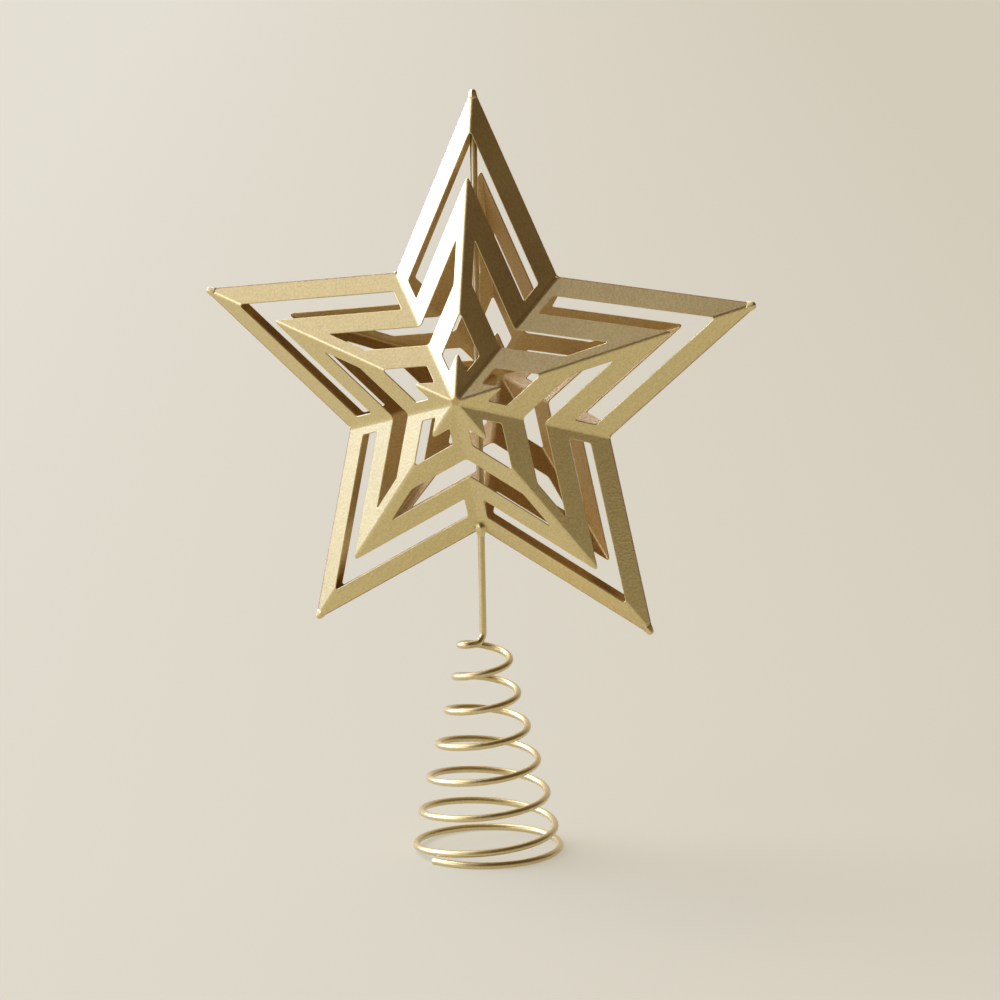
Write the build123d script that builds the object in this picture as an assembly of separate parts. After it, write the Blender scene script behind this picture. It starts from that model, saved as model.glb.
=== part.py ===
from build123d import *
import math
import os

# Christmas tree topper star. Two pressed sheet halves, pierced with three rows of slots, meet rim to
# rim and are soldered at the points and the inner corners. One wire runs up through the bottom corner
# to the top point, and below the star it winds out into an open cone that slips over the tree's leader.
# Millimetres, +Z up, the star faces -Y, and the origin is on the table under the stem.

# Star, its points and inner corners named anticlockwise from the top, seen from the front
TIP_NAMES = ["top", "left", "lower_left", "lower_right", "right"]
CORNER_NAMES = ["upper_left", "side_left", "stem", "side_right", "upper_right"]
POINTS = len(TIP_NAMES)
STAR_RADIUS = 105.9  # centre to a sharp point
CORNER_RADIUS = 49.8  # centre to an inner corner
HALF_DEPTH = 28.2  # rim plane to the sharp apex of one half
STAR_HEIGHT = 165.4  # table to the star's centre
SHEET = 0.6  # sheet with its coat
APEX_BLUNT = 0.4  # pressed off each apex
TIP_BLUNT = 2.1  # nipped off each sharp point

# Slots, measured in the rim plane, square to the star's edges
RIM_BAND = 6.15
MIDDLE_BAND = 5.95
INNER_BAND = 6.6
SLOT_WIDTH = 6.05
BRIDGE_WIDTH = 6.8  # strip left between neighbouring slots

# Solder
BEAD_SIDES = 8  # flats that stand for the round of a drop
BEAD_ROUNDING = 0.6  # share of a drop's radius that its slanted shoulders take
TIP_BEAD_RADIUS = 1.7
TIP_BEAD_INSET = 1.0  # bead centre, in from the nipped point
CORNER_BEAD_RADIUS = 1.0
STEM_BEAD_RADIUS = 2.5
STEM_BEAD_INSET = 1.0  # bead centre, up from the bottom inner corner

# Wire
WIRE = 2.5  # diameter
WIRE_SIDES = 8  # flats that stand for the round of the wire in the coil
STEM_CLEARANCE = 0.2  # round the stem where it passes the sheet
CROOK_RADIUS = 3.75  # bend from the stem into the coil, at the wire's centre
FLAT_CUT = 0.25  # ground off the coil where it stands

# Coil, counted in turns from the end of its first short bend
COIL_HEIGHT = 75.0  # wire centre at the top of the coil
COIL_TOP_RADIUS = 8.2
COIL_BASE_RADIUS = 26.1
TOP_FLARE = 1.7  # radius gained per turn at the top
BASE_FLARE = 0.52  # radius gained per turn at the foot
COIL_TURNS = 6.86
COIL_START = 196.0  # bearing of the first turn, in degrees from +X towards +Y
TOP_LEAD = 0.25  # the wire starts to fall this far before the first turn
TOP_EASE = 0.5  # turns over which the wire takes up its pitch
FOOT_START = 5.9  # turns wound before the foot begins to level out
FOOT_EASE = 0.4  # turns over which the foot levels out
ARCS_PER_TURN = 4  # biarcs in one turn

tip_radius = STAR_RADIUS - TIP_BLUNT
wire_radius = WIRE / 2
foot_height = wire_radius - FLAT_CUT
half_step = math.radians(180 / POINTS)

# One edge of the outline, from the top point to the inner corner beside it
edge_run = CORNER_RADIUS * math.sin(half_step)
edge_drop = STAR_RADIUS - CORNER_RADIUS * math.cos(half_step)
edge_length = math.hypot(edge_run, edge_drop)
edge_distance = STAR_RADIUS * edge_run / edge_length
wall_depth = SHEET * math.hypot(edge_distance, HALF_DEPTH) / edge_distance

star_plane = Plane((0, 0, STAR_HEIGHT), x_dir=(1, 0, 0), z_dir=(0, -1, 0))


def bearing(step):
    """Angle of a point (even step) or of an inner corner (odd step), counted from the top point."""
    return 90 + math.degrees(half_step) * step


def on_star(radius, step):
    """Place in the rim plane, at a radius towards a point or an inner corner."""
    angle = math.radians(bearing(step))
    return Vector(radius * math.cos(angle), 0, STAR_HEIGHT + radius * math.sin(angle))


def outline(inset=0.0):
    """Flat star whose ten edges lie inset from the rim."""
    size = 1 - inset / edge_distance
    corners = []
    for step in range(2 * POINTS):
        radius = size * (CORNER_RADIUS if step % 2 else STAR_RADIUS)
        angle = math.radians(bearing(step))
        corners.append((radius * math.cos(angle), radius * math.sin(angle)))
    return Polygon(*corners, align=None)


def bridges(first_step):
    """Strips from the centre along the points (first step 0) or along the inner corners (1)."""
    strips = Sketch()
    for step in range(first_step, 2 * POINTS, 2):
        strip = Pos(0, STAR_RADIUS / 2) * Rectangle(BRIDGE_WIDTH, STAR_RADIUS)
        strips += Rot(0, 0, bearing(step) - 90) * strip
    return strips


def slot_row(inset, first_step):
    """One row of slots, inset from the rim and parted by the bridges."""
    return outline(inset) - outline(inset + SLOT_WIDTH) - bridges(first_step)


def pyramid(shift=0.0):
    """Solid half star, its rim moved back from the rim plane by the shift."""
    base = star_plane.offset(-shift) * outline()
    return loft([base, Vertex(0, shift - HALF_DEPTH, STAR_HEIGHT)], ruled=True)


def front_half():
    """The half that faces -Y, with its three rows of slots."""
    middle = RIM_BAND + SLOT_WIDTH + MIDDLE_BAND
    inner = middle + SLOT_WIDTH + INNER_BAND
    slots = slot_row(RIM_BAND, 1) + slot_row(middle, 0) + slot_row(inner, 1)
    half = pyramid() - pyramid(wall_depth) - extrude(star_plane * slots, HALF_DEPTH)
    stock = Rot(90, 0, 0) * Cylinder(tip_radius, 2 * (HALF_DEPTH - APEX_BLUNT))
    return half & Pos(0, 0, STAR_HEIGHT) * stock


def ramp(turn, ease):
    """Zero up to turn 0, then a parabola over the ease, then a straight rise of 1 per turn."""
    if turn <= 0:
        return 0.0
    if turn < ease:
        return turn * turn / (2 * ease)
    return turn - ease / 2


coil_pitch = (COIL_HEIGHT - foot_height) / (TOP_LEAD - TOP_EASE / 2 + FOOT_START + FOOT_EASE / 2)


def coil_radius(turn):
    """Radius of the cone, swelling from the top flare to the foot flare."""
    part = turn / COIL_TURNS
    swell = part * part * (3 - 2 * part)
    top_swing = TOP_FLARE * COIL_TURNS * part * (1 - part) ** 2
    foot_swing = BASE_FLARE * COIL_TURNS * part * part * (part - 1)
    return COIL_TOP_RADIUS + (COIL_BASE_RADIUS - COIL_TOP_RADIUS) * swell + top_swing + foot_swing


def coil_point(turn):
    """Centre of the wire after so many turns, winding clockwise seen from above."""
    angle = math.radians(COIL_START - 360 * turn)
    fall = ramp(turn + TOP_LEAD, TOP_EASE) - ramp(turn - FOOT_START, FOOT_EASE)
    radius = coil_radius(turn)
    return Vector(radius * math.cos(angle), radius * math.sin(angle), COIL_HEIGHT - coil_pitch * fall)


def coil_heading(turn):
    """Direction of the wire, down the coil."""
    nudge = 1e-4
    return (coil_point(turn + nudge) - coil_point(turn - nudge)).normalized()


def biarc(start, start_heading, end, end_heading):
    """Two arcs that meet smoothly half way between two headings."""
    reach = end - start
    headings = start_heading + end_heading
    slope = reach.dot(headings)
    turn_off = 2 * (1 - start_heading.dot(end_heading))
    leg = (math.sqrt(slope * slope + turn_off * reach.dot(reach)) - slope) / turn_off
    middle = (start + end + (start_heading - end_heading) * leg) * 0.5
    first = TangentArc(start, middle, tangent=start_heading)
    second = TangentArc(end, middle, tangent=end_heading * -1)
    return [first, second]


def crook_bearing():
    """Bearing in which the stem bends away, so that one arc carries it into the first turn."""
    ratio = COIL_TOP_RADIUS / CROOK_RADIUS
    return COIL_START + math.degrees(2 * math.atan((ratio - 1) / (ratio + 1)))


crook_top = COIL_HEIGHT + CROOK_RADIUS
stem_foot = crook_top + WIRE


def coil_path():
    """Wire's centre line, from the foot of the stem down to the free end."""
    away = math.radians(crook_bearing())
    heading = Vector(math.cos(away), math.sin(away), 0)
    crook_foot = heading * CROOK_RADIUS + Vector(0, 0, COIL_HEIGHT)
    route = [
        Line((0, 0, stem_foot), (0, 0, crook_top)),
        TangentArc((0, 0, crook_top), crook_foot, tangent=(0, 0, -1)),
    ]
    route += biarc(crook_foot, heading, coil_point(0), coil_heading(0))
    count = math.ceil(COIL_TURNS * ARCS_PER_TURN)
    turns = [COIL_TURNS * index / count for index in range(count + 1)]
    for above, below in zip(turns, turns[1:]):
        route += biarc(coil_point(above), coil_heading(above), coil_point(below), coil_heading(below))
    free_end = coil_point(COIL_TURNS)
    route.append(Line(free_end, free_end + coil_heading(COIL_TURNS) * WIRE))
    return Wire(route)


def least_gap(path):
    """Smallest gap between the wire's turns, measured on points along its centre line."""
    spacing = WIRE / 4
    count = math.ceil(path.length / spacing)
    points = [path @ (index / count) for index in range(count + 1)]
    apart = math.ceil(math.pi * WIRE / spacing)
    nearest = min(
        (points[low] - points[high]).length
        for low in range(len(points))
        for high in range(low + apart, len(points))
    )
    return nearest - WIRE


def coil_spring(path):
    """The cone of wire, with flats for its round, cut level where it stands on the table."""
    section = Plane((0, 0, stem_foot), z_dir=(0, 0, -1)) * RegularPolygon(wire_radius, WIRE_SIDES)
    tube = sweep(section, path=path, clean=False)
    return split(tube, Plane.XY, keep=Keep.TOP)


def stem_top():
    """Height where the stem just clears the four walls of the top point."""
    lean = math.hypot(1, HALF_DEPTH * edge_drop / edge_length / edge_distance)
    room = (wire_radius + STEM_CLEARANCE) * lean + wall_depth
    return STAR_HEIGHT + STAR_RADIUS * (1 - room / HALF_DEPTH)


def stem(radius):
    """Straight wire from the coil up to the top point."""
    length = stem_top() - stem_foot
    bar = Cylinder(radius, length, align=(Align.CENTER, Align.CENTER, Align.MIN))
    return Pos(0, 0, stem_foot) * bar


def bead(centre, radius):
    """Drop of solder, as deep as it is wide, its round drawn with flats and slants."""
    drop = extrude(RegularPolygon(radius, BEAD_SIDES), radius, both=True)
    ends = drop.faces().filter_by(Axis.Z)
    drop = chamfer(ends.edges(), BEAD_ROUNDING * radius)
    return Pos(centre) * Rot(90, 0, 0) * drop


solder = {}
for index, name in enumerate(TIP_NAMES):
    place = on_star(tip_radius - TIP_BEAD_INSET, 2 * index)
    solder["tip_solder_" + name] = bead(place, TIP_BEAD_RADIUS)
for index, name in enumerate(CORNER_NAMES):
    if name == "stem":
        place = on_star(CORNER_RADIUS - STEM_BEAD_INSET, 2 * index + 1)
        solder["stem_solder"] = bead(place, STEM_BEAD_RADIUS) - stem(wire_radius)
    else:
        place = on_star(CORNER_RADIUS, 2 * index + 1)
        solder["corner_solder_" + name] = bead(place, CORNER_BEAD_RADIUS)

front = front_half()
seats = [stem(wire_radius + STEM_CLEARANCE)] + list(solder.values())
front = front - seats
back = Rot(0, 0, 180) * front

path = coil_path()
coil = coil_spring(path)
whole_tube = RegularPolygon(wire_radius, WIRE_SIDES).area * path.length
print("least gap of the coil to itself:", round(least_gap(path), 3), "mm")
print("volume left of the whole tube after the flat is cut:", round(coil.volume / whole_tube, 4))

parts = {
    "front_star_shell": front,
    "back_star_shell": back,
    "stem_wire": stem(wire_radius),
    "coil_spring": coil,
}
parts.update(solder)

os.makedirs("parts", exist_ok=True)
for name, shape in parts.items():
    export_step(shape, "parts/" + name + ".step")
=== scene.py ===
"""Christmas tree topper star: the dressed model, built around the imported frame.

Two pierced and pressed sheet halves, the one wire that carries them and winds out into a cone below,
and the solder that holds them together, all under one coat of gold paint.
"""
import logging
import math
from dataclasses import dataclass, field
from enum import Enum
from typing import Any, Iterable, Optional

import bmesh
import bpy
from bmesh.types import BMEdge, BMesh, BMVert
from mathutils import Matrix, Vector, noise


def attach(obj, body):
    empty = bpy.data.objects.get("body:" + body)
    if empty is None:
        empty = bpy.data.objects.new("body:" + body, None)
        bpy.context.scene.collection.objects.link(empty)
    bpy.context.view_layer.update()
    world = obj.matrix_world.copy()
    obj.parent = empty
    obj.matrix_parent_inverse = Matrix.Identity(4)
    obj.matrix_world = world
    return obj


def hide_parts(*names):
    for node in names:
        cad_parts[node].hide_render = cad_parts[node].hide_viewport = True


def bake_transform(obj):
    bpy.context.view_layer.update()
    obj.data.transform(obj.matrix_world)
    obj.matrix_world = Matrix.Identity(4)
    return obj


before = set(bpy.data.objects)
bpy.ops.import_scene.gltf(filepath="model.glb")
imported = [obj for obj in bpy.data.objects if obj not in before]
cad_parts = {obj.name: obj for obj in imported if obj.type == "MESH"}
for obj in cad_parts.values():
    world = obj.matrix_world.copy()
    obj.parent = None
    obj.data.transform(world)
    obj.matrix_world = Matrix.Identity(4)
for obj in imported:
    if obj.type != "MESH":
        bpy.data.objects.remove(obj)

LOG = logging.getLogger("topper_star")
MM = 0.001
# Millimetres within which two places count as one.
NEAR = 1e-3
# A direction along which no two parts of a shape lie level.
ORDER_AXIS = Vector((0.831, 0.217, 0.512))
# Sockets of a colour mix.
MIX_SHARE = 0
MIX_FIRST = 6
MIX_SECOND = 7
MIX_RESULT = 2


class Body(Enum):
    """The frame's two bodies: the coil's foot, and everything that it carries."""

    COIL = "base"
    STAR = "star"


class Slot(Enum):
    """The record's material slots."""

    SHEET = "gold_sheet"
    WIRE = "gold_wire"
    SOLDER = "gold_solder"


class Half(Enum):
    """The two halves of the star, each with its turn about the upright axis."""

    FRONT = 0.0
    BACK = 180.0


def linear(hex_colour: str) -> tuple[float, float, float, float]:
    """Turn an sRGB hex colour into linear RGBA.

    Args:
        hex_colour: six hex digits.

    Returns:
        The linear colour with full alpha.
    """
    channels = [int(hex_colour[i:i + 2], 16) / 255 for i in (0, 2, 4)]
    straight = [c / 12.92 if c <= 0.04045 else ((c + 0.055) / 1.055) ** 2.4 for c in channels]
    return straight[0], straight[1], straight[2], 1.0


def add_node(
    tree: bpy.types.NodeTree,
    kind: str,
    values: Optional[dict[Any, Any]] = None,
    links: Optional[dict[Any, bpy.types.NodeSocket]] = None,
    **settings: Any,
) -> bpy.types.Node:
    """Add a node, set it up and link its inputs.

    Args:
        tree: the node tree that takes the node.
        kind: the node's type name.
        values: constant values by input name or index.
        links: output sockets by input name or index.
        **settings: the node's own properties.

    Returns:
        The new node.
    """
    node = tree.nodes.new(kind)
    for key, value in settings.items():
        setattr(node, key, value)
    for key, value in (values or {}).items():
        node.inputs[key].default_value = value
    for key, socket in (links or {}).items():
        tree.links.new(socket, node.inputs[key])
    return node


def make_piece(bm: BMesh, name: str, material: bpy.types.Material) -> bpy.types.Object:
    """Turn a bmesh in millimetres into a smooth-shaded piece in metres.

    Args:
        bm: the finished shape, which is freed.
        name: the piece's name.
        material: its finish.

    Returns:
        The piece, in the scene and at the origin.
    """
    bmesh.ops.scale(bm, vec=Vector((MM, MM, MM)), verts=bm.verts)
    for face in bm.faces:
        face.smooth = True
    mesh = bpy.data.meshes.new(name)
    bm.to_mesh(mesh)
    bm.free()
    mesh.materials.append(material)
    piece = bpy.data.objects.new(name, mesh)
    bpy.context.scene.collection.objects.link(piece)
    LOG.info("%s: %d faces", name, len(mesh.polygons))
    return piece


def cut(bm: BMesh, place: Vector, normal: Vector, near: float = NEAR, clear: bool = False) -> None:
    """Cut a shape along a plane and, where asked, clear what lies beyond it.

    Args:
        bm: the shape.
        place: a point of the plane.
        normal: direction from the plane to what lies beyond.
        near: distance within which a vertex counts as on the plane.
        clear: whether what lies beyond goes.
    """
    whole = bm.verts[:] + bm.edges[:] + bm.faces[:]
    bmesh.ops.bisect_plane(
        bm, geom=whole, dist=near, plane_co=place, plane_no=normal, clear_outer=clear
    )


def settle(bm: BMesh) -> None:
    """Put the parts of a shape in a fixed order, so that the next steps go alike in every run.

    Args:
        bm: the shape.
    """
    bm.verts.sort(key=lambda vert: vert.co.dot(ORDER_AXIS))
    bm.edges.sort(key=lambda edge: (edge.verts[0].co + edge.verts[1].co).dot(ORDER_AXIS))
    bm.faces.sort(key=lambda face: face.calc_center_median().dot(ORDER_AXIS))


@dataclass(frozen=True)
class GoldPaint:
    """Gold bronze paint on metal: flakes of brass in lacquer, sprayed on.

    It gives the eye a warm satin metal, never a mirror, over the orange peel that the spray leaves.
    The grain is that orange peel, and the patches are where the coat lies thicker or thinner.
    """

    name: str
    bright_hex: str
    deep_hex: str
    seam_hex: str = "A87C42"
    roughness: float = 0.38
    roughness_swing: float = 0.05
    grain_mm: float = 0.75
    grain_height_mm: float = 0.045
    grain_strength: float = 1.0
    grain_detail: float = 2.0
    grain_gain: float = 0.45
    flake_range: tuple[float, float] = (0.36, 0.64)
    patch_mm: float = 28.0
    patch_detail: float = 3.0
    patch_gain: float = 0.55
    patch_range: tuple[float, float] = (0.3, 0.7)
    seam_mm: float = 0.0
    coat: float = 1.0
    coat_ior: float = 1.95
    coat_roughness: float = 0.3

    def material(self) -> bpy.types.Material:
        """Build the paint as a node material.

        Returns:
            The new material.
        """
        paint = bpy.data.materials.new(self.name)
        paint.use_nodes = True
        tree = paint.node_tree
        tree.nodes.clear()
        place = add_node(tree, "ShaderNodeTexCoord").outputs["Object"]
        grain = add_node(
            tree, "ShaderNodeTexNoise",
            values={
                "Scale": 1 / (self.grain_mm * MM),
                "Detail": self.grain_detail,
                "Roughness": self.grain_gain,
            },
            links={"Vector": place},
        ).outputs["Fac"]
        patches = add_node(
            tree, "ShaderNodeTexNoise",
            values={
                "Scale": 1 / (self.patch_mm * MM),
                "Detail": self.patch_detail,
                "Roughness": self.patch_gain,
            },
            links={"Vector": place},
        ).outputs["Fac"]
        flakes = add_node(
            tree, "ShaderNodeMapRange",
            values={"From Min": self.flake_range[0], "From Max": self.flake_range[1]},
            links={"Value": grain},
        ).outputs["Result"]
        colour = add_node(
            tree, "ShaderNodeMix", data_type="RGBA",
            values={MIX_FIRST: linear(self.deep_hex), MIX_SECOND: linear(self.bright_hex)},
            links={MIX_SHARE: flakes},
        ).outputs[MIX_RESULT]
        rough = add_node(
            tree, "ShaderNodeMapRange",
            values={
                "From Min": self.patch_range[0],
                "From Max": self.patch_range[1],
                "To Min": self.roughness - self.roughness_swing,
                "To Max": self.roughness + self.roughness_swing,
            },
            links={"Value": patches},
        ).outputs["Result"]
        bump = add_node(
            tree, "ShaderNodeBump",
            values={"Strength": self.grain_strength, "Distance": self.grain_height_mm * MM},
            links={"Height": grain},
        ).outputs["Normal"]
        links = {"Base Color": colour, "Roughness": rough, "Normal": bump, "Coat Normal": bump}
        if self.seam_mm:
            line = self._seam(tree, place, grain)
            links["Base Color"] = add_node(
                tree, "ShaderNodeMix", data_type="RGBA",
                values={MIX_SECOND: linear(self.seam_hex)},
                links={MIX_SHARE: line, MIX_FIRST: colour},
            ).outputs[MIX_RESULT]
            links["Metallic"] = add_node(
                tree, "ShaderNodeMath", operation="SUBTRACT", values={0: 1.0}, links={1: line}
            ).outputs[0]
        shader = add_node(
            tree, "ShaderNodeBsdfPrincipled",
            values={
                "Metallic": 1.0,
                "Coat Weight": self.coat,
                "Coat IOR": self.coat_ior,
                "Coat Roughness": self.coat_roughness,
            },
            links=links,
        )
        add_node(tree, "ShaderNodeOutputMaterial", links={"Surface": shader.outputs["BSDF"]})
        return paint

    def _seam(
        self,
        tree: bpy.types.NodeTree,
        place: bpy.types.NodeSocket,
        grain: bpy.types.NodeSocket,
    ) -> bpy.types.NodeSocket:
        """Find the uneven line along the rim, where the paint breaks over the joint of the halves.

        Args:
            tree: the paint's node tree.
            place: Object coordinates.
            grain: the paint's grain, which makes the line uneven.

        Returns:
            The socket of the line's share.
        """
        depth = add_node(tree, "ShaderNodeSeparateXYZ", links={0: place}).outputs["Y"]
        off_rim = add_node(
            tree, "ShaderNodeMath", operation="ABSOLUTE", links={0: depth}
        ).outputs[0]
        reach = add_node(
            tree, "ShaderNodeMath", operation="MULTIPLY",
            values={1: 2 * self.seam_mm * MM}, links={0: grain},
        ).outputs[0]
        return add_node(
            tree, "ShaderNodeMath", operation="LESS_THAN", links={0: off_rim, 1: reach}
        ).outputs[0]


@dataclass(frozen=True)
class StarPlan:
    """Plan of the star in the rim plane, in millimetres, seen along +Y with its top point up."""

    points: int = 5
    radius: float = 105.9
    corner_radius: float = 49.8
    depth: float = 28.2
    centre_height: float = 165.4

    @property
    def half_step(self) -> float:
        """Angle from a point to the inner corner beside it."""
        return math.pi / self.points

    @property
    def tip(self) -> Vector:
        """The sharp top point."""
        return Vector((0, 0, self.radius))

    @property
    def corner(self) -> Vector:
        """The inner corner to the left of the top point."""
        return self.valley * self.corner_radius

    @property
    def valley(self) -> Vector:
        """Direction from the centre to that inner corner."""
        return Vector((-math.sin(self.half_step), 0, math.cos(self.half_step)))

    @property
    def off_valley(self) -> Vector:
        """Direction square to the valley, towards the top point's ridge."""
        return Vector((math.cos(self.half_step), 0, math.sin(self.half_step)))

    @property
    def edge_normal(self) -> Vector:
        """Direction out of the star, square to the left edge of the top point."""
        along = (self.corner - self.tip).normalized()
        return Vector((along.z, 0, -along.x))

    @property
    def edge_distance(self) -> float:
        """Centre to the line of an edge."""
        return self.edge_normal.dot(self.tip)

    def place(self, radius: float, step: int) -> Vector:
        """Point of the rim plane towards a tip (even step) or an inner corner (odd step).

        Args:
            radius: distance from the star's centre.
            step: half steps from the top point, anticlockwise from the front.

        Returns:
            The point, in the frame of the whole topper.
        """
        turn = self.half_step * step
        return Vector((-radius * math.sin(turn), 0, self.centre_height + radius * math.cos(turn)))


@dataclass
class StarShell:
    """One half of the star: a pressed sheet with three rows of slots and ten soft folds."""

    half: Half
    material: bpy.types.Material
    # Darker, browner paint: painted shade on the faces inside the hollow, and the worn apex flat.
    inside: bpy.types.Material
    plan: StarPlan = field(default_factory=StarPlan)
    sheet: float = 0.6
    apex_blunt: float = 0.9
    tip_blunt: float = 2.3
    rim_band: float = 6.15
    middle_band: float = 5.95
    inner_band: float = 6.6
    slot_width: float = 6.05
    inner_slot_width: float = 5.35
    bridge_width: float = 6.8
    slot_round: float = 0.7
    slot_steps: int = 3
    flat_degrees: float = 1.0
    fold_round: float = 1.0
    fold_steps: int = 4
    fold_degrees: float = 5.0
    edge_soft: float = 0.28
    edge_steps: int = 2
    edge_degrees: float = 50.0
    facet_weight: int = 100
    seam_gap: float = 0.04
    inside_facing: float = 0.3
    inside_index: int = 1

    def rows(self) -> list[tuple[float, float, bool]]:
        """Work out the rows of slots from the widths of the bands.

        Returns:
            Inset of each row's outer and inner side, and whether it runs over the ridges.
        """
        rim = self.rim_band
        middle = rim + self.slot_width + self.middle_band
        inner = middle + self.slot_width + self.inner_band
        return [
            (rim, rim + self.slot_width, True),
            (middle, middle + self.slot_width, False),
            (inner, inner + self.inner_slot_width, True),
        ]

    def build(self) -> bpy.types.Object:
        """Model the half, place it and give it its paint.

        Returns:
            The finished piece, riding on the star's body.
        """
        bm = bmesh.new()
        self._facet(bm)
        self._pierce(bm)
        self._round_slots(bm)
        self._repeat(bm)
        self._fold(bm)
        self._blunt_apex(bm)
        self._thicken(bm)
        self._trim_rim(bm)
        self._mark(bm)
        turn = Matrix.Rotation(math.radians(self.half.value), 4, "Z")
        lift = Matrix.Translation((0, 0, self.plan.centre_height))
        bmesh.ops.transform(bm, matrix=lift @ turn, verts=bm.verts)
        name = self.half.name.lower()
        piece = make_piece(bm, f"{name}_star_sheet", self.material)
        piece.data.materials.append(self.inside)
        self._dress(piece)
        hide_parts(f"{name}_star_shell")
        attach(piece, Body.STAR.value)
        return piece

    def _facet(self, bm: BMesh) -> None:
        """Start with the left facet of the top point: apex, blunted tip and inner corner.

        Args:
            bm: the empty shape that takes it.
        """
        apex = Vector((0, -self.plan.depth, 0))
        corners = [bm.verts.new(place) for place in (apex, self.plan.tip, self.plan.corner)]
        bm.faces.new(corners)
        upward = Vector((0, 0, 1))
        cut(bm, upward * (self.plan.radius - self.tip_blunt), upward, clear=True)

    def _pierce(self, bm: BMesh) -> None:
        """Cut the facet along the sides of its slots and take the slots out.

        Args:
            bm: the plain facet.
        """
        plan = self.plan
        ridge_side = Vector((-1, 0, 0))
        half_bridge = self.bridge_width / 2
        cuts = [(ridge_side, half_bridge), (plan.off_valley, half_bridge)]
        for outer, inner, _ in self.rows():
            cuts += [(plan.edge_normal, plan.edge_distance - inset) for inset in (outer, inner)]
        for normal, distance in cuts:
            cut(bm, normal * distance, normal)
        waste = []
        for face in bm.faces:
            middle = face.calc_center_median()
            inset = plan.edge_distance - plan.edge_normal.dot(middle)
            for outer, inner, over_ridge in self.rows():
                side = plan.off_valley if over_ridge else ridge_side
                if outer < inset < inner and side.dot(middle) > half_bridge:
                    waste.append(face)
        bmesh.ops.delete(bm, geom=waste, context="FACES")
        bmesh.ops.dissolve_limit(
            bm, angle_limit=math.radians(self.flat_degrees), verts=bm.verts[:], edges=bm.edges[:]
        )

    def _round_slots(self, bm: BMesh) -> None:
        """Round the slots' corners at the bridges.

        Args:
            bm: the pierced facet.
        """
        ends = [
            vert for vert in bm.verts
            if vert.co.x < -NEAR and vert.co.y < -NEAR and self.plan.off_valley.dot(vert.co) > NEAR
        ]
        bmesh.ops.bevel(
            bm, geom=ends, offset=self.slot_round, offset_type="OFFSET", segments=self.slot_steps,
            profile=0.5, affect="VERTICES", clamp_overlap=True, material=-1,
        )

    def _repeat(self, bm: BMesh) -> None:
        """Mirror the facet over its ridge and set the point five times round the centre.

        Args:
            bm: the finished facet, which becomes the whole half.
        """
        whole = bm.verts[:] + bm.edges[:] + bm.faces[:]
        bmesh.ops.mirror(bm, geom=whole, matrix=Matrix.Identity(4), merge_dist=NEAR, axis="X")
        step = 2 * self.plan.half_step
        whole = bm.verts[:] + bm.edges[:] + bm.faces[:]
        bmesh.ops.spin(
            bm, geom=whole, cent=(0, 0, 0), axis=(0, 1, 0), dvec=(0, 0, 0),
            angle=step * (self.plan.points - 1), steps=self.plan.points - 1, use_duplicate=True,
        )
        bmesh.ops.remove_doubles(bm, verts=bm.verts[:], dist=10 * NEAR)
        bmesh.ops.recalc_face_normals(bm, faces=bm.faces[:])
        bm.faces.ensure_lookup_table()
        if bm.faces[0].normal.y > 0:
            bmesh.ops.reverse_faces(bm, faces=bm.faces[:])

    def _fold(self, bm: BMesh) -> None:
        """Soften the ridges and valleys to the radius of the press, in one go so that they meet.

        Args:
            bm: the half with sharp folds.
        """
        least = math.radians(self.fold_degrees)
        folds = [
            edge for edge in bm.edges
            if len(edge.link_faces) == 2 and edge.calc_face_angle() > least
        ]
        bmesh.ops.bevel(
            bm, geom=folds, offset=self.fold_round, offset_type="OFFSET", segments=self.fold_steps,
            profile=0.5, affect="EDGES", clamp_overlap=True, material=-1,
        )

    def _blunt_apex(self, bm: BMesh) -> None:
        """Press the apex into a small flat, where the paint is rubbed thin.

        Args:
            bm: the folded half.
        """
        ahead = Vector((0, -1, 0))
        top = ahead * (self.plan.depth - self.apex_blunt)
        cut(bm, top, ahead, clear=True)
        opening = [
            edge for edge in bm.edges
            if edge.is_boundary and all(abs(vert.co.y - top.y) < 2 * NEAR for vert in edge.verts)
        ]
        flat = bmesh.ops.edgeloop_fill(bm, edges=opening)["faces"]
        for face in flat:
            face.material_index = self.inside_index
            face.normal_update()
        bmesh.ops.reverse_faces(bm, faces=[face for face in flat if face.normal.y > 0])

    def _thicken(self, bm: BMesh) -> None:
        """Give the sheet its thickness, inwards.

        Args:
            bm: the thin half.
        """
        settle(bm)
        bmesh.ops.solidify(bm, geom=bm.faces[:], thickness=self.sheet)
        settle(bm)

    def _trim_rim(self, bm: BMesh) -> None:
        """Grind the rim level, just short of the other half, and close it.

        Args:
            bm: the half with its thickness.
        """
        back = Vector((0, 1, 0))
        cut(bm, back * (-self.seam_gap / 2), back, near=NEAR / 10, clear=True)
        settle(bm)
        rim = [edge for edge in bm.edges if edge.is_boundary]
        bmesh.ops.bridge_loops(bm, edges=rim)
        bmesh.ops.recalc_face_normals(bm, faces=bm.faces[:])

    def _mark(self, bm: BMesh) -> None:
        """Mark the faces inside for the darker, browner paint that is painted shade.

        Args:
            bm: the closed half, with its apex still towards the front.
        """
        for face in bm.faces:
            on_rim = all(abs(vert.co.y) < self.seam_gap for vert in face.verts)
            if face.normal.y > self.inside_facing and not on_rim:
                # Painted shade: faces inside the hollow take the darker, browner paint.
                face.material_index = self.inside_index

    def _dress(self, piece: bpy.types.Object) -> None:
        """Take the sharpness off the cut edges and keep the facets flat to the eye.

        Args:
            piece: the half as a piece.
        """
        soft = piece.modifiers.new("cut_edges", "BEVEL")
        soft.width = self.edge_soft * MM
        soft.segments = self.edge_steps
        soft.limit_method = "ANGLE"
        soft.angle_limit = math.radians(self.edge_degrees)
        soft.use_clamp_overlap = False
        flat = piece.modifiers.new("flat_facets", "WEIGHTED_NORMAL")
        flat.keep_sharp = False
        flat.weight = self.facet_weight


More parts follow.
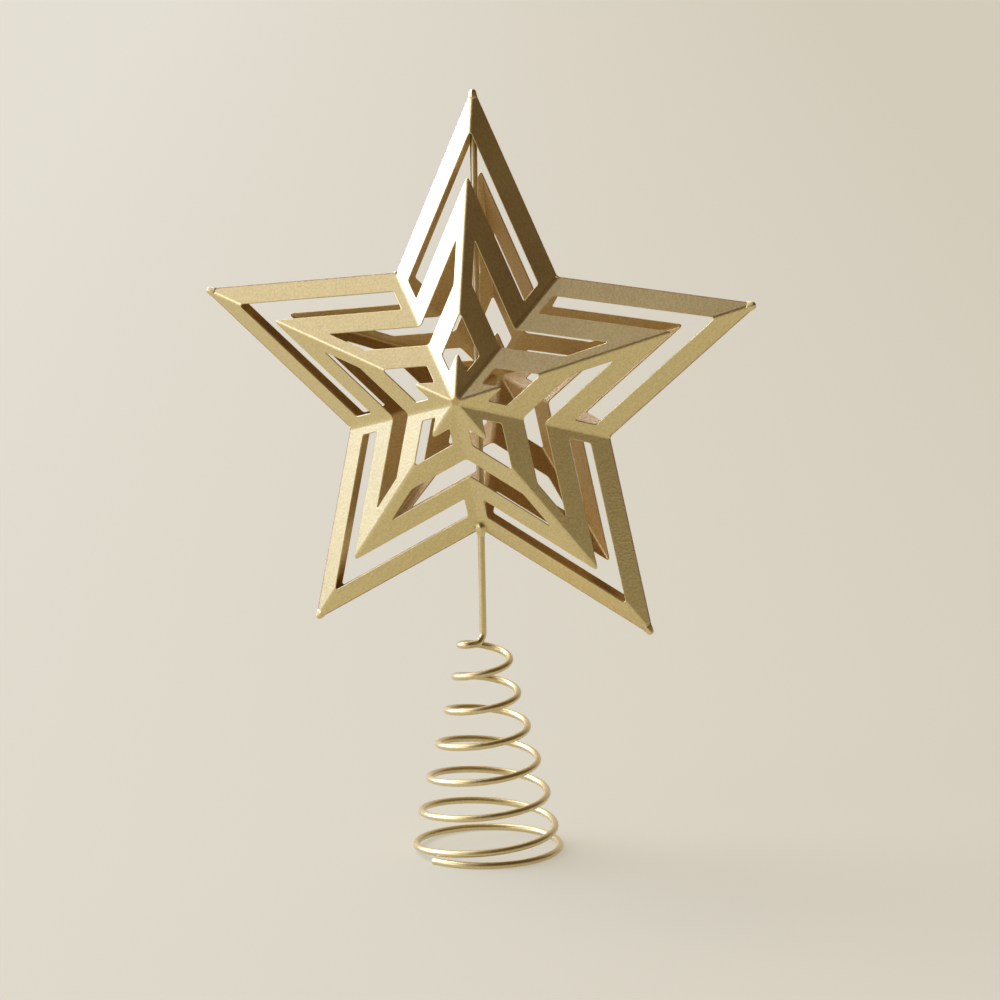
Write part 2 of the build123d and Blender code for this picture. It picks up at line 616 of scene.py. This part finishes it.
@dataclass
class TopperWire:
    """The one wire: stem through the star, crook, and the open cone that slips over the leader."""

    material: bpy.types.Material
    wire: float = 2.5
    sides: int = 20
    stem_top: float = 262.26
    crook_radius: float = 3.75
    flat_cut: float = 0.25
    coil_height: float = 75.0
    top_radius: float = 8.2
    base_radius: float = 26.1
    top_flare: float = 1.7
    base_flare: float = 0.52
    turns: float = 6.86
    start: float = 196.0
    top_lead: float = 0.25
    top_ease: float = 0.5
    foot_start: float = 5.9
    foot_ease: float = 0.4
    steps_per_turn: int = 48
    bend_steps: int = 12
    lead_in: float = 0.45
    end_round: float = 0.35
    end_steps: int = 3

    @staticmethod
    def _ramp(turn: float, ease: float) -> float:
        """Rise from zero, along a parabola over the ease and then straight on.

        Args:
            turn: turns since the rise began, below zero before it.
            ease: turns that the parabola takes.

        Returns:
            The rise, in turns.
        """
        if turn <= 0:
            return 0.0
        return turn * turn / (2 * ease) if turn < ease else turn - ease / 2

    @property
    def _pitch(self) -> float:
        """Fall of the wire in one free turn."""
        fall = self.coil_height - self.wire / 2 + self.flat_cut
        return fall / (self.top_lead - self.top_ease / 2 + self.foot_start + self.foot_ease / 2)

    def coil_point(self, turn: float) -> Vector:
        """Centre of the wire after so many turns of the cone.

        Args:
            turn: turns wound from the end of the crook, clockwise seen from above.

        Returns:
            The point, in millimetres.
        """
        part = turn / self.turns
        radius = self.top_radius
        radius += (self.base_radius - self.top_radius) * part * part * (3 - 2 * part)
        radius += self.top_flare * self.turns * part * (1 - part) ** 2
        radius += self.base_flare * self.turns * part * part * (part - 1)
        angle = math.radians(self.start - 360 * turn)
        fall = self._ramp(turn + self.top_lead, self.top_ease)
        fall -= self._ramp(turn - self.foot_start, self.foot_ease)
        return Vector((
            radius * math.cos(angle), radius * math.sin(angle), self.coil_height - self._pitch * fall
        ))

    def path(self) -> list[Vector]:
        """Centre line from the top of the stem to the free end.

        Returns:
            Points close enough together for a smooth tube.
        """
        ratio = self.top_radius / self.crook_radius
        away = math.radians(self.start) + 2 * math.atan((ratio - 1) / (ratio + 1))
        heading = Vector((math.cos(away), math.sin(away), 0))
        bend = self.crook_radius
        crook_top = self.coil_height + bend
        line = [Vector((0, 0, self.stem_top)), Vector((0, 0, crook_top + self.wire))]
        for index in range(self.bend_steps + 1):
            angle = math.pi / 2 * index / self.bend_steps
            drop = Vector((0, 0, crook_top - bend * math.sin(angle)))
            line.append(drop + heading * bend * (1 - math.cos(angle)))
        first = self.coil_point(0)
        onward = (self.coil_point(NEAR) - first).normalized()
        handle = (first - line[-1]).length * self.lead_in
        controls = (line[-1], line[-1] + heading * handle, first - onward * handle, first)
        for index in range(1, self.bend_steps):
            part = index / self.bend_steps
            rest = 1 - part
            weights = (rest ** 3, 3 * part * rest ** 2, 3 * part * part * rest, part ** 3)
            line.append(sum((point * weight for point, weight in zip(controls, weights)), Vector()))
        count = math.ceil(self.turns * self.steps_per_turn)
        line += [self.coil_point(self.turns * index / count) for index in range(count + 1)]
        line.append(line[-1] + (line[-1] - line[-2]).normalized() * self.wire)
        return line

    def build(self) -> bpy.types.Object:
        """Sweep the wire's round along its path, close its ends and set it on the table.

        Returns:
            The finished piece.
        """
        line = self.path()
        headings = [(after - before).normalized() for before, after in zip(line, line[1:])]
        headings.append(headings[-1])
        bm = bmesh.new()
        start = Matrix.Translation(line[0]) @ headings[0].to_track_quat("Z", "Y").to_matrix().to_4x4()
        ring = bmesh.ops.create_circle(
            bm, cap_ends=False, segments=self.sides, radius=self.wire / 2, matrix=start
        )["verts"]
        loop = list({edge for vert in ring for edge in vert.link_edges})
        ends = [loop]
        tangent = headings[0]
        # Each ring turns as far as the path does and no further, so the tube has no twist.
        for index in range(1, len(line)):
            grown = bmesh.ops.extrude_edge_only(bm, edges=loop)["geom"]
            verts = [item for item in grown if isinstance(item, BMVert)]
            loop = [
                edge for edge in grown
                if isinstance(edge, BMEdge) and all(vert in verts for vert in edge.verts)
            ]
            aim = (headings[index - 1] + headings[index]).normalized()
            turn = tangent.rotation_difference(aim).to_matrix()
            tangent = aim
            bmesh.ops.rotate(bm, verts=verts, cent=line[index - 1], matrix=turn)
            bmesh.ops.translate(bm, verts=verts, vec=line[index] - line[index - 1])
        ends.append(loop)
        self._close_ends(bm, ends)
        # The foot is rubbed flat where it stands on the table.
        for vert in bm.verts:
            vert.co.z = max(vert.co.z, 0.0)
        bmesh.ops.recalc_face_normals(bm, faces=bm.faces[:])
        piece = make_piece(bm, "topper_wire", self.material)
        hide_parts("stem_wire", "coil_spring")
        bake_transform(piece)
        return piece

    def _close_ends(self, bm: BMesh, ends: Iterable[list[BMEdge]]) -> None:
        """Cap the two cut ends and round their edges.

        Args:
            bm: the open tube.
            ends: the edge loop of each end.
        """
        for loop in ends:
            bmesh.ops.contextual_create(bm, geom=loop)
            bmesh.ops.bevel(
                bm, geom=loop, offset=self.end_round, offset_type="OFFSET", segments=self.end_steps,
                profile=0.5, affect="EDGES", clamp_overlap=True, material=-1,
            )


@dataclass
class SolderDrops:
    """The drops of solder at the points and inner corners, and the fillet round the stem."""

    material: bpy.types.Material
    plan: StarPlan = field(default_factory=StarPlan)
    tips: tuple[str, ...] = ("top", "left", "lower_left", "lower_right", "right")
    corners: tuple[str, ...] = ("upper_left", "side_left", "", "side_right", "upper_right")
    tip_lumps: tuple[float, ...] = (0.04, 0.16, 0.06, 0.08, 0.12)
    tip_profile: tuple[tuple[float, float], ...] = (
        (0.0, 1.5), (0.62, 1.53), (1.0, 1.75), (1.22, 2.1), (1.44, 2.6), (1.62, 3.3), (1.8, 4.0),
        (1.88, 4.6), (1.6, 5.1), (0.0, 5.5),
    )
    tip_flatness: float = 0.61
    tip_squareness: float = 1.18
    tip_levels: int = 2
    corner_place: float = 49.4
    corner_sizes: tuple[float, ...] = (0.85, 0.6, 0.0, 0.6, 0.6)
    corner_splits: int = 4
    fillet_profile: tuple[tuple[float, float], ...] = (
        (0.9, -2.6), (1.28, -2.4), (1.42, -1.8), (1.75, -0.9), (2.3, -0.1), (2.5, 0.8),
        (2.3, 1.8), (1.7, 2.6), (0.9, 3.0),
    )
    fillet_even: float = 1.5
    lathe_steps: int = 32
    lump: float = 0.14
    lump_mm: float = 1.3
    lump_step: tuple[float, float, float] = (3.7, 0.0, 1.9)

    def build(self) -> list[bpy.types.Object]:
        """Model every drop and the fillet.

        Returns:
            The finished pieces, riding on the star's body.
        """
        pieces = []
        for index, name in enumerate(self.tips):
            pieces.append(self._tip(f"tip_solder_{name}", 2 * index, self.tip_lumps[index]))
        for index, name in enumerate(self.corners):
            if name:
                size = self.corner_sizes[index]
                pieces.append(self._drop(f"corner_solder_{name}", 2 * index + 1, size))
        pieces.append(self._fillet())
        return pieces

    def _lathe(self, bm: BMesh, profile: Iterable[tuple[float, float]]) -> None:
        """Turn a profile about the upright axis into a closed skin.

        Args:
            bm: the empty shape that takes it.
            profile: radius and height of each point.
        """
        chain = [bm.verts.new((radius, 0, height)) for radius, height in profile]
        edges = [bm.edges.new(pair) for pair in zip(chain, chain[1:])]
        bmesh.ops.spin(
            bm, geom=chain + edges, cent=(0, 0, 0), axis=(0, 0, 1), dvec=(0, 0, 0),
            angle=2 * math.pi, steps=self.lathe_steps, use_merge=True,
        )
        bmesh.ops.remove_doubles(bm, verts=bm.verts[:], dist=NEAR)
        bmesh.ops.holes_fill(bm, edges=[edge for edge in bm.edges if edge.is_boundary], sides=0)
        bmesh.ops.recalc_face_normals(bm, faces=bm.faces[:])

    def _set_at_rim(self, bm: BMesh, radius: float, step: int) -> None:
        """Turn a drop that was modelled upright outwards and move it to the rim.

        Args:
            bm: the drop.
            radius: distance from the star's centre.
            step: half steps from the top point.
        """
        aim = Matrix.Rotation(-self.plan.half_step * step, 4, "Y")
        there = Matrix.Translation(self.plan.place(radius, step))
        bmesh.ops.transform(bm, matrix=there @ aim, verts=bm.verts)

    def _seed(self, step: int) -> Vector:
        """Where a drop's lumps are read from the noise, so that no two drops are alike."""
        return Vector([part * step for part in self.lump_step])

    def _tip(self, node: str, step: int, lump: float) -> bpy.types.Object:
        """Model the solder that blunts a point: a flat cap over the ends of both halves.

        Args:
            node: the CAD node that it stands for.
            step: half steps from the top point.
            lump: how uneven it set, as a share of its size.

        Returns:
            The finished piece.
        """
        bm = bmesh.new()
        self._lathe(bm, [(width, -short) for width, short in self.tip_profile])
        seed = self._seed(step)
        power = self.tip_squareness
        for vert in bm.verts:
            radius = math.hypot(vert.co.x, vert.co.y)
            swell = 1 + lump * noise.noise(vert.co / self.lump_mm + seed)
            if radius > NEAR:
                across, ahead = abs(vert.co.x) / radius, abs(vert.co.y) / radius
                swell *= (across ** power + ahead ** power) ** (-1 / power)
            vert.co.x *= swell
            vert.co.y *= swell * self.tip_flatness
        self._set_at_rim(bm, self.plan.radius, step)
        piece = self._finish(bm, node)
        smooth = piece.modifiers.new("set_smooth", "SUBSURF")
        smooth.levels = self.tip_levels
        smooth.render_levels = self.tip_levels
        return piece

    def _drop(self, node: str, step: int, size: float) -> bpy.types.Object:
        """Model one lumpy drop in an inner corner.

        Args:
            node: the CAD node that it stands for.
            step: half steps from the top point.
            size: its radius.

        Returns:
            The finished piece.
        """
        bm = bmesh.new()
        bmesh.ops.create_icosphere(bm, subdivisions=self.corner_splits, radius=size)
        seed = self._seed(step)
        for vert in bm.verts:
            vert.co *= 1 + self.lump * noise.noise(vert.co / self.lump_mm + seed)
        self._set_at_rim(bm, self.corner_place, step)
        return self._finish(bm, node)

    def _fillet(self) -> bpy.types.Object:
        """Model the solder that creeps down the stem where it enters the star.

        Returns:
            The finished piece.
        """
        bm = bmesh.new()
        foot = self.plan.centre_height - self.plan.corner_radius
        self._lathe(bm, [(radius, foot + rise) for radius, rise in self.fillet_profile])
        for vert in bm.verts:
            swell = self.lump * noise.noise(vert.co / self.lump_mm)
            off_axis = Vector((vert.co.x, vert.co.y, 0))
            # Near the stem it stays even, so that it keeps round the wire.
            if off_axis.length > self.fillet_even:
                vert.co += off_axis * swell
        return self._finish(bm, "stem_solder")

    def _finish(self, bm: BMesh, node: str) -> bpy.types.Object:
        """Make the drop a piece that stands for its CAD node.

        Args:
            bm: the finished drop.
            node: the CAD node.

        Returns:
            The piece, riding on the star's body.
        """
        piece = make_piece(bm, f"{node}_drop", self.material)
        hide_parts(node)
        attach(piece, Body.STAR.value)
        return piece


@dataclass(frozen=True)
class Glow:
    """One soft patch of light in the studio's surroundings."""

    towards: tuple[float, float, float]
    full_degrees: float
    edge_degrees: float
    hex_colour: str
    strength: float


@dataclass
class Studio:
    """Pale seamless floor, soft light mostly from the left, and the camera."""

    floor_lit_hex: str = "E5E0D0"
    floor_far_hex: str = "D4CDB8"
    floor_turn: float = 0.35
    floor_radius: float = 14.0
    floor_sides: int = 64
    paper_roughness: float = 0.95
    paper_specular: float = 0.1
    shadow_lift: float = 0.65
    backdrop_hex: str = "DED7C7"
    fill_hex: str = "B88E6A"
    fill_strength: float = 0.2
    # Four soft windows, and last the pale backdrop as the metal sees it.
    glows: tuple[Glow, ...] = (
        Glow((-0.539, 0.196, 0.819), 5.0, 25.4, "FFFFFF", 5.81),
        Glow((-0.928, -0.028, 0.371), 13.7, 25.0, "BCCBFF", 8.4),
        Glow((-0.400, -0.510, 0.760), 5.0, 18.0, "ECECF8", 1.3),
        Glow((-0.690, -0.690, 0.220), 8.0, 26.0, "E6ECFF", 2.8),
        Glow((-0.280, 0.950, 0.100), 25.0, 80.0, "F5EEDF", 0.66),
    )
    camera_place: tuple[float, float, float] = (462.18, -1510.15, 440.0)
    azimuth: float = 16.77
    elevation: float = 11.249
    roll: float = -1.082
    lens: float = 166.01
    sensor: float = 36.0
    clip: tuple[float, float] = (0.05, 100.0)

    def build(self) -> None:
        """Set up the floor, the light and the camera."""
        self._floor()
        self._light()
        self._camera()
        bpy.context.scene.view_settings.view_transform = "Standard"

    def _floor(self) -> None:
        """Lay the floor, wide enough to fill the view."""
        bm = bmesh.new()
        bmesh.ops.create_circle(bm, cap_ends=True, segments=self.floor_sides, radius=self.floor_radius)
        mesh = bpy.data.meshes.new("studio_floor")
        bm.to_mesh(mesh)
        bm.free()
        floor = bpy.data.objects.new("studio_floor", mesh)
        bpy.context.scene.collection.objects.link(floor)
        mesh.materials.append(self._paper())

    def _paper(self) -> bpy.types.Material:
        """Build the matt paper: chalky, paler on the side of the light, its shadows lifted.

        The metal sees the lifted shadows too.

        Returns:
            The new material.
        """
        paper = bpy.data.materials.new("matt_paper_sweep")
        paper.use_nodes = True
        tree = paper.node_tree
        tree.nodes.clear()
        turn = math.radians(self.azimuth)
        across = add_node(
            tree, "ShaderNodeVectorMath", operation="DOT_PRODUCT",
            values={1: (math.cos(turn), math.sin(turn), 0.0)},
            links={0: add_node(tree, "ShaderNodeTexCoord").outputs["Object"]},
        ).outputs["Value"]
        part = add_node(
            tree, "ShaderNodeMapRange",
            values={"From Min": -self.floor_turn, "From Max": self.floor_turn},
            links={"Value": across},
        ).outputs["Result"]
        colour = add_node(
            tree, "ShaderNodeMix", data_type="RGBA",
            values={
                MIX_FIRST: linear(self.floor_lit_hex),
                MIX_SECOND: linear(self.floor_far_hex),
            },
            links={MIX_SHARE: part},
        ).outputs[MIX_RESULT]
        matt = add_node(
            tree, "ShaderNodeBsdfPrincipled",
            values={
                "Roughness": self.paper_roughness,
                "Specular IOR Level": self.paper_specular,
            },
            links={"Base Color": colour},
        ).outputs["BSDF"]
        even = add_node(tree, "ShaderNodeEmission", links={"Color": colour}).outputs[0]
        rays = add_node(tree, "ShaderNodeLightPath").outputs
        seen = add_node(
            tree, "ShaderNodeMath", operation="MAXIMUM",
            links={0: rays["Is Camera Ray"], 1: rays["Is Glossy Ray"]},
        ).outputs[0]
        lift = add_node(
            tree, "ShaderNodeMath", operation="MULTIPLY",
            values={1: self.shadow_lift}, links={0: seen},
        ).outputs[0]
        shown = add_node(tree, "ShaderNodeMixShader", links={0: lift, 1: matt, 2: even}).outputs[0]
        add_node(tree, "ShaderNodeOutputMaterial", links={"Surface": shown})
        return paper

    def _light(self) -> None:
        """Light the studio from its surroundings, and show the camera a plain pale backdrop."""
        world = bpy.data.worlds.new("soft_studio")
        bpy.context.scene.world = world
        world.use_nodes = True
        tree = world.node_tree
        tree.nodes.clear()
        towards = add_node(tree, "ShaderNodeTexCoord").outputs["Generated"]
        light = add_node(
            tree, "ShaderNodeBackground",
            values={"Color": linear(self.fill_hex), "Strength": self.fill_strength},
        ).outputs[0]
        for glow in self.glows:
            facing = add_node(
                tree, "ShaderNodeVectorMath", operation="DOT_PRODUCT",
                values={1: Vector(glow.towards).normalized()}, links={0: towards},
            ).outputs["Value"]
            share = add_node(
                tree, "ShaderNodeMapRange", interpolation_type="SMOOTHSTEP",
                values={
                    "From Min": math.cos(math.radians(glow.edge_degrees)),
                    "From Max": math.cos(math.radians(glow.full_degrees)),
                    "To Max": glow.strength,
                },
                links={"Value": facing},
            ).outputs["Result"]
            patch = add_node(
                tree, "ShaderNodeBackground",
                values={"Color": linear(glow.hex_colour)}, links={"Strength": share},
            ).outputs[0]
            light = add_node(tree, "ShaderNodeAddShader", links={0: light, 1: patch}).outputs[0]
        pale = add_node(
            tree, "ShaderNodeBackground", values={"Color": linear(self.backdrop_hex)}
        ).outputs[0]
        seen = add_node(tree, "ShaderNodeLightPath").outputs["Is Camera Ray"]
        shown = add_node(tree, "ShaderNodeMixShader", links={0: seen, 1: light, 2: pale}).outputs[0]
        add_node(tree, "ShaderNodeOutputWorld", links={"Surface": shown})

    def _camera(self) -> None:
        """Set the camera where the photograph was taken."""
        data = bpy.data.cameras.new("photo_camera")
        data.lens = self.lens
        data.sensor_width = self.sensor
        data.clip_start, data.clip_end = self.clip
        turn = math.radians(self.azimuth)
        dip = math.radians(self.elevation)
        level = Vector((math.cos(turn), math.sin(turn), 0))
        ahead = Vector((
            -math.sin(turn) * math.cos(dip), math.cos(turn) * math.cos(dip), -math.sin(dip)
        ))
        upright = level.cross(ahead)
        tilt = math.radians(self.roll)
        right = level * math.cos(tilt) + upright * math.sin(tilt)
        top = upright * math.cos(tilt) - level * math.sin(tilt)
        camera = bpy.data.objects.new("photo_camera", data)
        axes = Matrix((right, top, -ahead)).transposed().to_4x4()
        camera.matrix_world = Matrix.Translation(Vector(self.camera_place) * MM) @ axes
        bpy.context.scene.collection.objects.link(camera)
        bpy.context.scene.camera = camera


def main() -> None:
    """Build the pieces in order, then the studio."""
    logging.basicConfig(level=logging.INFO, format="%(name)s %(message)s")
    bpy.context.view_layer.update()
    # Pressed steel under the spray: satin facets with fine orange peel, brown where the rim shows.
    sheet = GoldPaint(
        "gold_paint_on_pressed_steel", bright_hex="DDC883", deep_hex="CEB871", seam_mm=0.3
    ).material()
    # Painted shade on the faces inside the hollow star, and real wear on the rubbed apex flat: the
    # same gold, darker, browner and duller.
    inside = GoldPaint(
        "gold_paint_painted_shade_inside_worn_apex", bright_hex="D3B477", deep_hex="C4A260", roughness=0.42, coat=0.4,
    ).material()
    # Drawn wire: smooth, with long soft lights along it.
    wire = GoldPaint(
        "gold_paint_on_drawn_wire", bright_hex="DECA8C", deep_hex="D6BF7C", roughness=0.42,
        grain_mm=0.8, grain_height_mm=0.02,
    ).material()
    # Solder that set in lumps: the same gold with small bright glints.
    solder = GoldPaint(
        "gold_paint_on_solder", bright_hex="DECA86", deep_hex="CDB570", roughness=0.36,
        grain_mm=0.9, grain_height_mm=0.05, patch_mm=2.0,
    ).material()
    for half in Half:
        StarShell(half, sheet, inside).build()
    TopperWire(wire).build()
    SolderDrops(solder).build()
    Studio().build()


if __name__ == "__main__":
    main()
